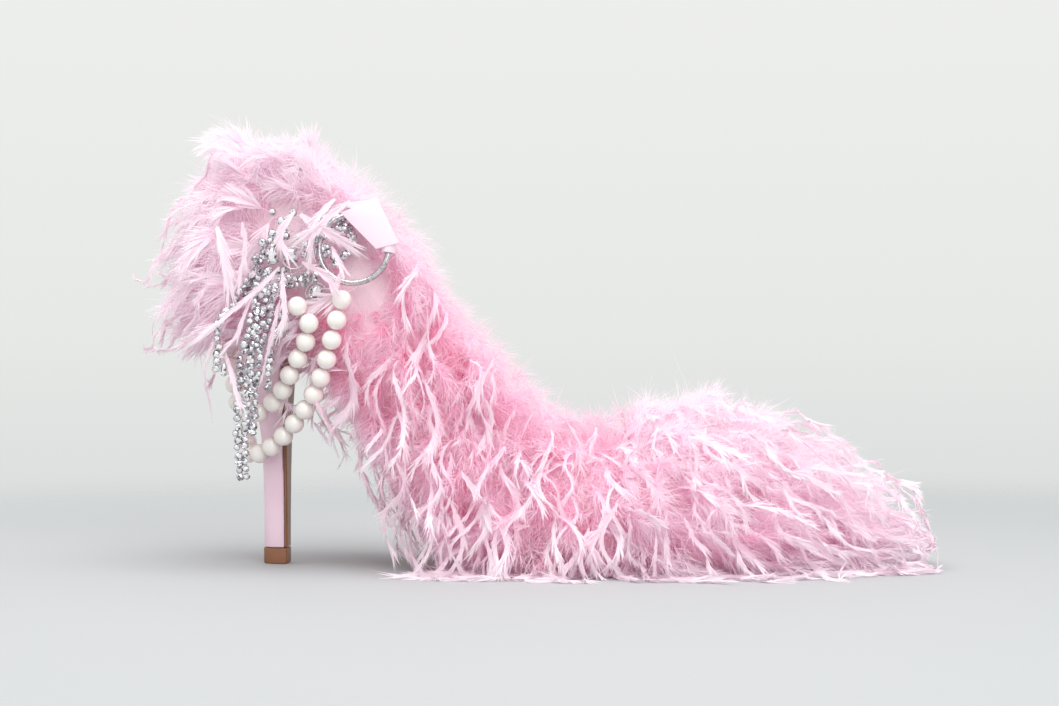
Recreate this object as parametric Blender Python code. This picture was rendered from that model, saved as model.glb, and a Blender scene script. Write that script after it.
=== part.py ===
"""A right high heel shoe: a pointed stiletto pump covered in feather trim, with a brooch,
crystal chains, two pearl swags and a ringed strap tab on its outer side.

The frame: +X points to the toe, +Y to the wearer's left, which is this shoe's inner side, and
+Z up. The origin is on the floor, under the ball of the foot. Lengths are in millimetres, and
new_object turns them into metres.
"""

import math

import bmesh
import bpy
from mathutils import Vector

MM = 0.001

# Driving dimensions
TIP_X = 97.0
HEEL_ROUND_X = -128.0
HEEL_ROUND_DEPTH = 22.0
BALL_HALF = 39.0
WALL = 1.8
GAP = 0.3
SOLE = 2.6
FLAP = 0.9
TREAD_BACK_X, TREAD_FRONT_X = -22.0, 36.0
TOE_SPRING = 5.0
SEAT_X, SEAT_UNDERSIDE_Z, SEAT_SLOPE = -111.2, 85.4, -0.27
THROAT_X = 14.0
UNDERCUT = 0.57
PEARL = 8.0
STONE = 2.7
RING_RADIUS, RING_WIRE = 14.0, 1.15

# The last: a row for each section. half is the widest half width, ridge the height of the
# instep above the feather line, rim the height of the collar, low the height of the widest
# line, and shift the bend of the centre line towards the inner side.
LAST_COLUMNS = ("x", "half", "ridge", "rim", "low", "shift")
LAST = (
    (-128.0, 26.0, 98.0, 60.0, 15.0, 0.0),
    (-112.0, 26.0, 96.0, 62.0, 15.0, -0.5),
    (-90.0, 25.5, 88.0, 60.0, 14.0, -1.5),
    (-65.0, 27.5, 70.0, 50.0, 13.0, -3.0),
    (-40.0, 32.0, 57.0, 43.5, 13.0, -3.5),
    (-15.0, 37.5, 48.0, 39.5, 13.0, -1.5),
    (5.0, 39.0, 42.5, 39.5, 12.5, 0.5),
    (14.0, 38.6, 40.0, 40.0, 12.0, 1.0),
    (30.0, 35.6, 34.5, 34.5, 11.0, 2.2),
    (55.0, 28.0, 26.0, 26.0, 8.5, 4.0),
    (75.0, 18.2, 20.0, 20.0, 7.0, 5.3),
    (97.0, 0.0, 11.0, 11.0, 4.5, 6.5),
)

# How far the counter stands behind the heel's round, at heights above the feather line
BACK_COLUMNS = ("height", "depth")
BACK = ((0.0, 22.0), (18.0, 26.3), (40.0, 23.5), (60.0, 19.0), (90.0, 13.0))

# Rows of the last's grid, as shares of the way from the feather line to the collar or ridge
SHARES = (0.0, 0.25, 0.5, 0.75, 1.0)
# A station is an x on the last. Behind the heel's round it goes on one unit for each degree.
BACK_STATION = HEEL_ROUND_X - 90.0
HEEL_STATIONS = [BACK_STATION + 18.0 * step for step in range(5)]
SIDE_STATIONS = [-128.0, -116.0, -103.0, -90.0, -77.0, -64.0, -51.0, -38.0, -25.0, -12.0, 0.0, 8.0]
TOE_STATIONS = [14.0, 24.0, 36.0, 48.0, 60.0, 71.0, 81.0, 89.0, 94.0, 96.3, 97.0]

# Feather trim behind the throat: hem is the lower edge, and the others are depths outside the
# wall, from the feather line up to the collar, with crest the height of the top edge
TRIM_COLUMNS = ("station", "hem_z", "hem", "low", "belly", "flank", "upper", "collar", "crest_z")
TRIM = (
    (-218.0, 104.0, 10.0, 14.0, 19.0, 20.0, 17.0, 12.0, 160.0),
    (-173.0, 100.0, 10.0, 13.0, 18.0, 19.0, 16.0, 11.0, 167.0),
    (-140.0, 95.0, 10.0, 12.0, 15.0, 15.0, 13.0, 10.0, 171.0),
    (-118.0, 86.0, 10.0, 12.0, 15.0, 15.0, 13.0, 9.0, 170.0),
    (-100.0, 62.0, 11.0, 12.0, 14.0, 14.0, 12.0, 8.0, 157.0),
    (-80.0, 34.0, 12.0, 13.0, 14.0, 13.0, 11.0, 7.0, 139.0),
    (-60.0, 9.0, 13.0, 14.0, 14.0, 13.0, 11.0, 6.0, 109.0),
    (-40.0, 2.0, 14.0, 14.0, 14.0, 13.0, 10.0, 6.0, 86.0),
    (-15.0, 1.5, 15.0, 15.0, 14.0, 12.0, 9.0, 6.0, 64.0),
    (12.0, 1.5, 15.0, 15.0, 14.0, 13.0, 11.0, 9.0, 60.0),
)
# Feather trim over the vamp, with crown its depth over the ridge
VAMP_COLUMNS = ("station", "hem", "low", "belly", "flank", "upper", "crown")
VAMP = (
    (14.0, 15.0, 15.0, 14.0, 13.0, 14.0, 17.0),
    (26.0, 15.0, 15.0, 15.0, 17.0, 22.0, 27.0),
    (40.0, 15.0, 15.0, 16.0, 20.0, 27.0, 33.0),
    (60.0, 15.0, 16.0, 17.0, 21.0, 28.0, 34.0),
    (81.0, 17.0, 18.0, 18.0, 20.0, 24.0, 27.0),
    (94.0, 22.0, 22.0, 20.0, 18.0, 18.0, 18.0),
    (97.0, 27.0, 25.0, 22.0, 19.0, 17.0, 16.0),
)
# On the outer side the trim is thin under the brooch and the ring: the bed that they lie on
BED_BACK, BED_FRONT, BED_LOW_Z, BED_HIGH_Z = -150.0, -77.0, 66.0, 152.0
BED_DEPTH, BED_HEM = 7.0, 5.5

# Heel block: front and back point of each ring, and its half width
HEEL_COLUMNS = ("front_x", "front_z", "back_x", "back_z", "half")
HEEL = (
    (-128.2, 6.8, -137.2, 6.8, 4.6),
    (-128.2, 22.0, -137.3, 22.0, 4.8),
    (-128.2, 38.0, -137.7, 38.0, 5.6),
    (-128.2, 52.0, -138.5, 52.0, 7.2),
    (-128.2, 64.0, -140.2, 64.0, 9.8),
    (-128.2, 73.8, -142.6, 75.0, 13.5),
    (-127.1, 80.9, -145.6, 83.0, 17.0),
    (-123.4, 86.0, -148.4, 91.0, 20.0),
    (-118.1, 88.8, -149.8, 96.5, 21.0),
    (-117.9, 89.8, -150.0, 98.4, 21.2),
)
# Half width of the sole's flap down the front of the heel
FLAP_COLUMNS = ("z", "half")
FLAP_WIDTHS = ((7.1, 4.1), (22.0, 4.4), (38.0, 5.2), (52.0, 6.8), (64.0, 9.3), (74.0, 12.8),
               (80.0, 16.2), (85.0, 19.0), (90.0, 20.8))
CORNER_RADIUS = 12.0
CORNER = (-114.9, 73.8)

# Routes of what hangs on the outer side
SWAG_OUTER = ((-98.0, -38.3, 108.0), (-100.6, -38.2, 98.0), (-105.5, -34.6, 82.0),
              (-112.0, -28.6, 68.6), (-122.0, -21.5, 56.6), (-133.0, -13.5, 47.5),
              (-142.3, -5.5, 45.4), (-145.2, 3.0, 51.5), (-146.0, 5.0, 62.0),
              (-148.2, 5.5, 74.0), (-152.6, 6.0, 86.0), (-154.2, 6.0, 91.5))
SWAG_INNER = ((-116.0, -37.6, 105.5), (-111.0, -37.0, 97.3), (-115.2, -33.0, 88.0),
              (-121.6, -28.0, 77.0), (-127.6, -21.5, 68.6), (-137.2, -16.5, 62.5),
              (-145.2, -9.5, 64.0), (-148.3, -4.5, 72.5), (-152.0, -3.6, 84.0),
              (-154.2, -3.6, 91.5))
# Each chain hangs from the brooch's lower edge, at a station, and then follows its route
CHAINS = {
    "crystal_chain_long": (-131.0, ((-134.0, -37.5, 99.0), (-137.5, -37.5, 80.0),
                                    (-139.0, -37.0, 62.0), (-138.5, -37.0, 50.0),
                                    (-138.0, -36.5, 35.0))),
    "crystal_chain_double": (-126.0, ((-128.5, -37.5, 102.0), (-132.5, -37.5, 86.0),
                                      (-134.5, -37.0, 68.0), (-136.0, -37.0, 53.0))),
    "crystal_chain_short": (-121.5, ((-123.3, -37.5, 102.0), (-127.2, -37.5, 86.0),
                                     (-127.5, -37.0, 70.0))),
    "crystal_chain_back": (-137.0, ((-141.6, -38.0, 108.0), (-146.5, -41.0, 99.0),
                                    (-147.5, -41.0, 90.0), (-147.5, -41.0, 80.0))),
}
BROOCH_LOW, BROOCH_HIGH = 0.64, 0.94


def table_value(table, columns, name, at):
    """A column of a table at a place, on a smooth curve through its rows."""
    column = columns.index(name)
    rows = [(row[0], row[column]) for row in table]
    if at <= rows[0][0]:
        return rows[0][1]
    if at >= rows[-1][0]:
        return rows[-1][1]
    index = next(i for i in range(len(rows) - 1) if at <= rows[i + 1][0])

    def slope(i):
        low, high = max(i - 1, 0), min(i + 1, len(rows) - 1)
        return (rows[high][1] - rows[low][1]) / (rows[high][0] - rows[low][0])

    (x0, y0), (x1, y1) = rows[index], rows[index + 1]
    span = x1 - x0
    t = (at - x0) / span
    return (
        y0 * (1 + 2 * t) * (1 - t) ** 2
        + slope(index) * span * t * (1 - t) ** 2
        + y1 * t * t * (3 - 2 * t)
        + slope(index + 1) * span * t * t * (t - 1)
    )


def underside(x):
    """The sole's underside: flat tread, toe spring, and the arch up to the heel seat."""
    if x >= TREAD_FRONT_X:
        return TOE_SPRING * ((x - TREAD_FRONT_X) / (TIP_X - TREAD_FRONT_X)) ** 2
    if x >= TREAD_BACK_X:
        return 0.0
    if x <= SEAT_X:
        return SEAT_UNDERSIDE_Z + SEAT_SLOPE * (x - SEAT_X)
    span = TREAD_BACK_X - SEAT_X
    t = (x - SEAT_X) / span
    rise = SEAT_UNDERSIDE_Z * (1 + 2 * t) * (1 - t) ** 2
    return rise + SEAT_SLOPE * span * t * (1 - t) ** 2


def feather_line(x):
    """Where the upper meets the sole."""
    return underside(x) + SOLE + GAP


def half_width(x):
    """The last's widest half width: a pointed oval ahead of the ball, the table behind it."""
    if x <= 0.0:
        return table_value(LAST, LAST_COLUMNS, "half", x)
    return BALL_HALF * max(1 - (x / TIP_X) ** 1.9, 0.0) ** 0.8


def plan_normal(x):
    """The outward direction of the last's outline, seen from above, on the +Y side."""
    if x >= TIP_X:
        return 1.0, 0.0
    step = min(0.5, (TIP_X - x) / 2)
    slope = (half_width(x + step) - half_width(x - step)) / (2 * step)
    length = math.hypot(slope, 1.0)
    return -slope / length, 1.0 / length


def last_point(station, share, out, side):
    """A point of the last's surface, share of the way from feather line to collar or ridge.

    out moves it outside the surface, and side is -1 for the shoe's outer side, 1 for its inner.
    """
    x = max(station, HEEL_ROUND_X)
    half = half_width(x)
    ridge, rim, low, shift = (
        table_value(LAST, LAST_COLUMNS, name, x) for name in ("ridge", "rim", "low", "shift")
    )
    start = -math.asin(UNDERCUT)
    top = math.pi / 2 if x >= THROAT_X else math.asin(min((rim - low) / (ridge - low), 1.0))
    angle = start + share * (top - start)
    width = half * math.cos(angle)
    if angle < 0:
        height = low * (1 - math.sin(angle) / math.sin(start))
        level, lift = 1.0, 0.0
    else:
        height = low + (ridge - low) * math.sin(angle)
        across, up = math.cos(angle) / max(half, 0.1), math.sin(angle) / (ridge - low)
        length = math.hypot(across, up)
        level, lift = across / length, up / length
    if station >= HEEL_ROUND_X:
        along, sideways = plan_normal(x)
        ahead = x + out * level * along
        width += out * level * sideways
    else:
        turn = math.radians(station - BACK_STATION)
        depth = table_value(BACK, BACK_COLUMNS, "depth", height) + out * level
        ahead = HEEL_ROUND_X - depth * math.cos(turn)
        width = (width + out * level) * math.sin(turn)
        x = HEEL_ROUND_X - HEEL_ROUND_DEPTH * math.cos(turn)
    return Vector((ahead, side * width + shift, feather_line(x) + height + out * lift))


def material(name, colour, roughness, metallic=0.0):
    made = bpy.data.materials.new(name)
    made.use_nodes = True
    shader = made.node_tree.nodes["Principled BSDF"]
    shader.inputs["Base Color"].default_value = (*colour, 1.0)
    shader.inputs["Roughness"].default_value = roughness
    shader.inputs["Metallic"].default_value = metallic
    return made


def new_object(name, bm, finish):
    """Makes the object of a bmesh in millimetres: merged, facing out, in metres."""
    bmesh.ops.remove_doubles(bm, verts=bm.verts, dist=0.01)
    bmesh.ops.recalc_face_normals(bm, faces=bm.faces)
    bmesh.ops.scale(bm, vec=(MM, MM, MM), verts=bm.verts)
    mesh = bpy.data.meshes.new(name)
    bm.to_mesh(mesh)
    bm.free()
    mesh.materials.append(finish)
    mesh.shade_smooth()
    mesh.set_sharp_from_angle(angle=math.radians(40))
    made = bpy.data.objects.new(name, mesh)
    bpy.context.scene.collection.objects.link(made)
    return made


def add_grid(bm, rows):
    """Faces between rows of points, each row as long as the next. Gives the faces by row."""
    verts = [[bm.verts.new(point) for point in row] for row in rows]
    faces = []
    for first, second in zip(verts, verts[1:]):
        faces.append([
            bm.faces.new((first[i], first[i + 1], second[i + 1], second[i]))
            for i in range(len(first) - 1)
        ])
    return faces


def add_tube(bm, rings, cap_start=True, cap_end=True):
    """A closed tube through rings of points, with flat caps."""
    verts = [[bm.verts.new(point) for point in ring] for ring in rings]
    count = len(rings[0])
    for first, second in zip(verts, verts[1:]):
        for i in range(count):
            j = (i + 1) % count
            bm.faces.new((first[i], first[j], second[j], second[i]))
    if cap_start:
        bm.faces.new(verts[0])
    if cap_end:
        bm.faces.new(verts[-1])


def make_upper(finish):
    """The hollow upper: outer and inner skin, joined along the rim and the feather line."""
    bm = bmesh.new()
    behind = HEEL_STATIONS + SIDE_STATIONS + TOE_STATIONS[:1]
    for side in (-1, 1):
        skins = []
        for out in (0.0, -WALL):
            rows = [[last_point(s, v, out, side) for v in SHARES] for s in behind + TOE_STATIONS[1:]]
            add_grid(bm, rows)
            skins.append(rows)
        for edge in (0, -1):
            stations = len(skins[0]) if edge == 0 else len(behind)
            add_grid(bm, [[skins[k][i][edge] for k in (0, 1)] for i in range(stations)])
    return new_object("upper", bm, finish)


def make_insole(finish):
    """The covered insole board, inside the upper and just above the sole."""
    bm = bmesh.new()
    rings = []
    for station in HEEL_STATIONS[1:] + SIDE_STATIONS + TOE_STATIONS[:-3]:
        left, right = (last_point(station, 0, -WALL - 0.5, side) for side in (1, -1))
        rings.append([
            left + Vector((0, 0, GAP)),
            right + Vector((0, 0, GAP)),
            right + Vector((0, 0, GAP + 2.0)),
            left + Vector((0, 0, GAP + 2.0)),
        ])
    add_tube(bm, rings)
    return new_object("insole", bm, finish)


def sole_ring(centre, across, inner, outer, half):
    """A section of the sole: inner is the vector to its upper face, outer to its lower one."""
    side = Vector((0, across, 0))
    bevel = Vector((0, 0.9, 0))
    edge = Vector((0, half, 0))
    middle = inner.lerp(outer, 0.55)
    return [
        centre + side + edge + inner,
        centre + side + edge + middle,
        centre + side + edge - bevel + outer,
        centre + side - edge + bevel + outer,
        centre + side - edge + middle,
        centre + side - edge + inner,
    ]


def make_outsole(finish):
    """The leather sole from toe to seat, turned down round the corner as the heel's flap."""
    bm = bmesh.new()
    rings = []
    for station in reversed(SIDE_STATIONS[2:] + TOE_STATIONS[:-1]):
        left, right = (last_point(station, 0, 0.5, side) for side in (1, -1))
        centre = (left + right) / 2
        centre.z -= GAP
        rings.append(sole_ring(centre, 0, Vector(), Vector((0, 0, -SOLE)), (left.y - right.y) / 2))
    turn = [math.radians(a) for a in (96, 80, 62, 44, 28, 12, 0)]
    for angle in turn:
        reach = Vector((-math.cos(angle), 0, math.sin(angle)))
        face = Vector((CORNER[0], 0, CORNER[1])) + reach * CORNER_RADIUS
        thick = FLAP + (SOLE - FLAP) * math.sin(angle) ** 2
        half = table_value(FLAP_WIDTHS, FLAP_COLUMNS, "half", face.z)
        rings.append(sole_ring(face, -0.4 * math.sin(angle), reach * thick, Vector(), half))
    for z in (64.0, 52.0, 38.0, 22.0, 7.1):
        face = Vector((CORNER[0] - CORNER_RADIUS, 0, z))
        half = table_value(FLAP_WIDTHS, FLAP_COLUMNS, "half", z)
        rings.append(sole_ring(face, 0, Vector((-FLAP, 0, 0)), Vector(), half))
    add_tube(bm, rings)
    return new_object("outsole", bm, finish)


def heel_ring(front_x, front_z, back_x, back_z, half):
    """A section of the heel: flat front, straight sides, round back, sloped from front to back."""
    turn_x = front_x + 0.32 * (back_x - front_x)
    plan = [(front_x, -half * 0.92), (front_x - 0.4, -half)]
    for step in range(9):
        angle = math.radians(-90 + 22.5 * step)
        plan.append((turn_x + (back_x - turn_x) * math.cos(angle), half * math.sin(angle)))
    plan += [(front_x - 0.4, half), (front_x, half * 0.92)]
    slope = (back_z - front_z) / (back_x - front_x)
    return [Vector((x, y, front_z + slope * (x - front_x))) for x, y in plan]


def make_heel(finish):
    bm = bmesh.new()
    add_tube(bm, [heel_ring(**dict(zip(HEEL_COLUMNS, row))) for row in HEEL])
    return new_object("heel", bm, finish)


def make_top_piece(finish):
    """The top lift, with the flat tread that the heel stands on."""
    bm = bmesh.new()
    rings = []
    for z, grow in ((0.0, -0.3), (0.4, 0.0), (6.5, 0.0)):
        rings.append(heel_ring(-127.0 + grow, z, -137.5 - grow, z, 4.8 + grow))
    add_tube(bm, rings)
    return new_object("top_piece", bm, finish)


def trim_lining(station, side):
    """The trim's inner face, just clear of the upper and of the sole's edge."""
    return [last_point(station, share, 1.0 if share == 0 else 0.7, side) for share in SHARES]


def is_bed(station, side):
    return side < 0 and BED_BACK <= station <= BED_FRONT


def trim_section(station, side):
    """Inner and outer chain of points of the trim behind the throat, from hem to crest."""
    def value(name):
        return table_value(TRIM, TRIM_COLUMNS, name, station)

    names = ("low", "belly", "flank", "upper", "collar")
    depths = [value(name) for name in names]
    hem_out = value("hem")
    if is_bed(station, side):
        depths = [BED_DEPTH] * len(names)
        hem_out = BED_HEM
    inner = trim_lining(station, side)
    outer = [last_point(station, share, depth, side) for share, depth in zip(SHARES, depths)]
    hem_in = last_point(station, 0, max(hem_out - 8.0, 1.5), side)
    hem_tip = last_point(station, 0, hem_out, side)
    hem_in.z = hem_tip.z = min(value("hem_z"), hem_in.z - 2.0)
    crest_in, crest_out = (last_point(station, 1.0, out, side) for out in (1.0, 6.0))
    crest_in.z = crest_out.z = max(value("crest_z"), crest_out.z + 2.0)
    return [hem_in, *inner, crest_in], [hem_tip, *outer, crest_out]


def vamp_section(station, side):
    """The same over the vamp, where inner has no hem and both end on the ridge."""
    def value(name):
        return table_value(VAMP, VAMP_COLUMNS, name, station)

    names = ("low", "belly", "flank", "upper", "crown")
    inner = trim_lining(station, side)
    outer = [last_point(station, share, value(name), side) for share, name in zip(SHARES, names)]
    hem = last_point(station, 0, value("hem"), side)
    hem.z = 1.5
    return [inner[0], *inner], [hem, *outer]


def add_locks(bm, faces, length, drape, floor=1.2):
    """Draws a lock of feathers out of each face: wide at its root, bent along drape, to a tip."""
    for face in faces:
        out = face.normal.copy()
        current = face
        for push, fall, narrow in ((0.45, 0.25, 0.68), (0.4, 0.75, 0.3)):
            made = bmesh.ops.extrude_discrete_faces(bm, faces=[current])
            current = made["faces"][0]
            middle = current.calc_center_median()
            along = drape(middle)
            for vert in current.verts:
                vert.co = middle + (vert.co - middle) * narrow
                vert.co += (out * push + along * fall) * length
            lift = max(floor - min(vert.co.z for vert in current.verts), 0.0)
            for vert in current.verts:
                vert.co.z += lift


def side_drape(point):
    """Locks on the sides hang down and a little towards the toe."""
    return Vector((0.35, 0.0, -0.85))


def counter_drape(point):
    """Locks on the counter sweep up above its middle and down below it, and backwards."""
    rise = 0.7 if point.z > 150 else -0.5
    return Vector((-0.35, 0.0, rise))


def toe_drape(point):
    """Locks on the vamp lie forwards."""
    return Vector((0.75, 0.0, -0.3))


def lock_faces(grid):
    """Every other face of a grid, like a chequerboard."""
    return [
        face
        for i, row in enumerate(grid)
        for j, face in enumerate(row)
        if (i + j) % 2 == 0
    ]


def lies_in_bed(face):
    """True for faces without locks: those under the brooch and ring, and at the throat."""
    middle = face.calc_center_median()
    if middle.x > 0:
        return True
    in_height = BED_LOW_Z < middle.z < BED_HIGH_Z
    return BED_BACK < middle.x < BED_FRONT + 4 and middle.y < 0 and in_height


def trim_solid(name, stations, drape, length, finish):
    """Feather trim behind the throat, through (station, side) pairs from one end to the other."""
    bm = bmesh.new()
    sections = [trim_section(station, side) for station, side in stations]
    outer_faces = add_grid(bm, [outer for _, outer in sections])
    add_grid(bm, [inner for inner, _ in sections])
    for edge in (0, -1):
        add_grid(bm, [[inner[edge], outer[edge]] for inner, outer in sections])
    for inner, outer in (sections[0], sections[-1]):
        add_grid(bm, [inner, outer])
    bmesh.ops.remove_doubles(bm, verts=bm.verts, dist=0.01)
    bmesh.ops.recalc_face_normals(bm, faces=bm.faces)
    clear = [face for face in lock_faces(outer_faces) if not lies_in_bed(face)]
    add_locks(bm, clear, length, drape)
    return new_object(name, bm, finish)


def make_toe_trim(finish):
    """Feather trim over the vamp, round the toe and out in front of it."""
    bm = bmesh.new()
    outer_faces = []
    for side in (-1, 1):
        sections = [vamp_section(station, side) for station in TOE_STATIONS]
        outer_faces += add_grid(bm, [outer for _, outer in sections])
        add_grid(bm, [inner[1:] for inner, _ in sections])
        add_grid(bm, [[inner[0], outer[0]] for inner, outer in sections])
        add_grid(bm, [sections[0][0][1:], sections[0][1][1:]])
        inner, outer = sections[0]
        bm.faces.new([bm.verts.new(point) for point in (inner[0], outer[0], outer[1])])
    bmesh.ops.remove_doubles(bm, verts=bm.verts, dist=0.01)
    bmesh.ops.recalc_face_normals(bm, faces=bm.faces)
    add_locks(bm, lock_faces(outer_faces), 12.0, toe_drape)
    return new_object("feathers_toe", bm, finish)


def smooth_route(points, step):
    """Points a fixed step apart along a smooth curve through the given ones."""
    fine = []
    for i in range(len(points) - 1):
        before = Vector(points[max(i - 1, 0)])
        start, end = Vector(points[i]), Vector(points[i + 1])
        after = Vector(points[min(i + 2, len(points) - 1)])
        for j in range(12):
            t = j / 12
            fine.append(0.5 * (
                2 * start
                + (end - before) * t
                + (2 * before - 5 * start + 4 * end - after) * t * t
                + (3 * start - before - 3 * end + after) * t ** 3
            ))
    fine.append(Vector(points[-1]))
    route, walked, wanted = [fine[0]], 0.0, step
    for start, end in zip(fine, fine[1:]):
        length = (end - start).length
        while walked + length >= wanted:
            route.append(start.lerp(end, (wanted - walked) / length))
            wanted += step
        walked += length
    return route


def beaded_tube(name, centres, profile, sides, finish):
    """Beads fused on a thread: profile gives each bead's rings as (along, radius)."""
    bm = bmesh.new()
    rings = []
    for i, centre in enumerate(centres):
        ahead = centres[min(i + 1, len(centres) - 1)] - centres[max(i - 1, 0)]
        ahead.normalize()
        first = ahead.orthogonal() if i == 0 else first - ahead * first.dot(ahead)
        first.normalize()
        second = ahead.cross(first)
        for along, radius in profile:
            rings.append([
                centre + ahead * along
                + first * radius * math.cos(2 * math.pi * k / sides)
                + second * radius * math.sin(2 * math.pi * k / sides)
                for k in range(sides)
            ])
    add_tube(bm, rings)
    return new_object(name, bm, finish)


def make_swag(name, points, finish):
    profile = [
        (-PEARL / 2 * math.cos(math.radians(a)), max(PEARL / 2 * math.sin(math.radians(a)), 0.6))
        for a in (8, 45, 90, 135, 172)
    ]
    centres = smooth_route(points, PEARL + 0.25)
    return beaded_tube(name, centres, profile, 8, finish)


def make_chain(name, station, points, finish):
    """A cup chain that hangs from the brooch's lower edge."""
    start = last_point(station, BROOCH_LOW, BED_DEPTH + 1.2, -1) - Vector((0, 0, 1.6))
    profile = ((-STONE * 0.42, 0.8), (-STONE * 0.2, STONE * 0.62), (STONE * 0.25, STONE * 0.62))
    centres = smooth_route((tuple(start),) + points, STONE * 1.35)
    return beaded_tube(name, centres, profile, 4, finish)


def make_brooch(finish):
    """The crystal cluster: a plate that follows the counter, with raised stones."""
    bm = bmesh.new()
    stations = [-140.0, -134.0, -128.0, -123.5, -119.0, -114.5, -110.0]
    shares = [BROOCH_LOW + (BROOCH_HIGH - BROOCH_LOW) * i / 4 for i in range(5)]
    skins = []
    for out in (BED_DEPTH + 0.6, BED_DEPTH + 1.8):
        rows = [[last_point(s, v, out, -1) for v in shares] for s in stations]
        faces = add_grid(bm, rows)
        skins.append(rows)
    for edge in (0, -1):
        add_grid(bm, [[skins[k][i][edge] for k in (0, 1)] for i in range(len(stations))])
        add_grid(bm, [skins[k][edge] for k in (0, 1)])
    bmesh.ops.remove_doubles(bm, verts=bm.verts, dist=0.01)
    bmesh.ops.recalc_face_normals(bm, faces=bm.faces)
    add_locks(bm, lock_faces(faces), 4.0, lambda point: Vector())
    return new_object("brooch", bm, finish)


RING_CENTRE = Vector((-94.0, -33.4, 128.4))
RING_OUT = Vector((0.0, -0.985, 0.174))
RING_RIGHT = Vector((1.0, 0.0, 0.0))
RING_UP = Vector((0.0, 0.174, 0.985))


def ring_point(right, up, out):
    return RING_CENTRE + RING_RIGHT * right + RING_UP * up + RING_OUT * out


def ring_sector(start, end, steps, radius, sides):
    """Rings of points round the ring's wire from one angle to another, in degrees."""
    rings = []
    for step in range(steps):
        angle = math.radians(start + (end - start) * step / (steps - 1))
        ring = []
        for k in range(sides):
            turn = 2 * math.pi * k / sides
            reach = RING_RADIUS + radius * math.cos(turn)
            ring.append(
                ring_point(reach * math.cos(angle), reach * math.sin(angle), radius * math.sin(turn))
            )
        rings.append(ring)
    return rings


def make_ring(finish):
    bm = bmesh.new()
    rings = ring_sector(0, 360, 33, RING_WIRE, 8)
    add_tube(bm, rings, cap_start=False, cap_end=False)
    return new_object("ring", bm, finish)


def prism(bm, outline, low, high):
    """A flat piece in the ring's plane, between two heights above it."""
    add_tube(bm, [[ring_point(x, y, out) for x, y in outline] for out in (low, high)])


def make_strap_tab(finish):
    """The tab: a strap end with a sleeve round the ring and a foot on the trim beneath."""
    plate = bmesh.new()
    prism(plate, ((-2.0, 10.5), (-5.0, 14.0), (9.0, 20.0), (18.5, 1.5), (9.4, -0.8)), 1.7, 3.3)
    tab = new_object("strap_tab", plate, finish)
    sleeve = bmesh.new()
    outer = ring_sector(-8, 20, 5, 3.1, 10)
    inner = ring_sector(-8, 20, 5, RING_WIRE + GAP + 0.1, 10)
    add_tube(sleeve, outer, cap_start=False, cap_end=False)
    add_tube(sleeve, inner, cap_start=False, cap_end=False)
    for end in (0, -1):
        add_grid(sleeve, [ring + ring[:1] for ring in (outer[end], inner[end])])
    foot = bmesh.new()
    prism(foot, ((-3.0, 16.0), (-2.0, 18.0), (8.6, 19.6), (11.4, 14.2), (8.0, 15.5)), -1.9, 3.2)
    for name, bm in (("sleeve", sleeve), ("foot", foot)):
        piece = new_object("strap_tab_" + name, bm, finish)
        piece.hide_render = True
        piece.display_type = "WIRE"
        join = tab.modifiers.new(name, "BOOLEAN")
        join.operation = "UNION"
        join.object = piece
    return tab


def main():
    for thing in list(bpy.data.objects):
        bpy.data.objects.remove(thing)
    feather = material("pink_feather", (0.93, 0.62, 0.74), 0.8)
    satin = material("pink_satin", (0.80, 0.62, 0.71), 0.45)
    lining = material("pale_lining", (0.86, 0.72, 0.76), 0.6)
    leather = material("brown_leather", (0.27, 0.13, 0.07), 0.5)
    silver = material("silver", (0.8, 0.8, 0.8), 0.2, 1.0)
    pearl = material("pearl", (0.90, 0.86, 0.80), 0.25)
    make_upper(satin)
    make_insole(lining)
    make_outsole(leather)
    make_heel(satin)
    make_top_piece(leather)
    back = HEEL_STATIONS + [-128.0, -116.6]
    counter = [(s, -1) for s in reversed(back)] + [(s, 1) for s in back[1:]]
    trim_solid("feathers_counter", counter, counter_drape, 10.0, feather)
    quarter = SIDE_STATIONS[1:] + [13.3]
    for name, side in (("feathers_outer", -1), ("feathers_inner", 1)):
        trim_solid(name, [(s, side) for s in quarter], side_drape, 11.0, feather)
    make_toe_trim(feather)
    make_strap_tab(satin)
    make_ring(silver)
    make_brooch(silver)
    make_swag("pearl_swag_outer", SWAG_OUTER, pearl)
    make_swag("pearl_swag_inner", SWAG_INNER, pearl)
    for name, (station, points) in CHAINS.items():
        make_chain(name, station, points, silver)


main()
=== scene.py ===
# %% [markdown]
# # A feathered stiletto pump
#
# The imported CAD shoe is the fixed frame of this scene: its upper, sole, heel and trims are already
# in place, in metres, with the toe along +X and the floor at Z = 0. The lesson dresses it: it
# gives each surface its real finish, and puts real feathers, pearls and stones where the CAD has
# plain solids. Lengths in the lesson are in millimetres, and MM turns them into metres.

import math

import bpy
import numpy as np
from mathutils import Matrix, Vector
from mathutils.bvhtree import BVHTree


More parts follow.
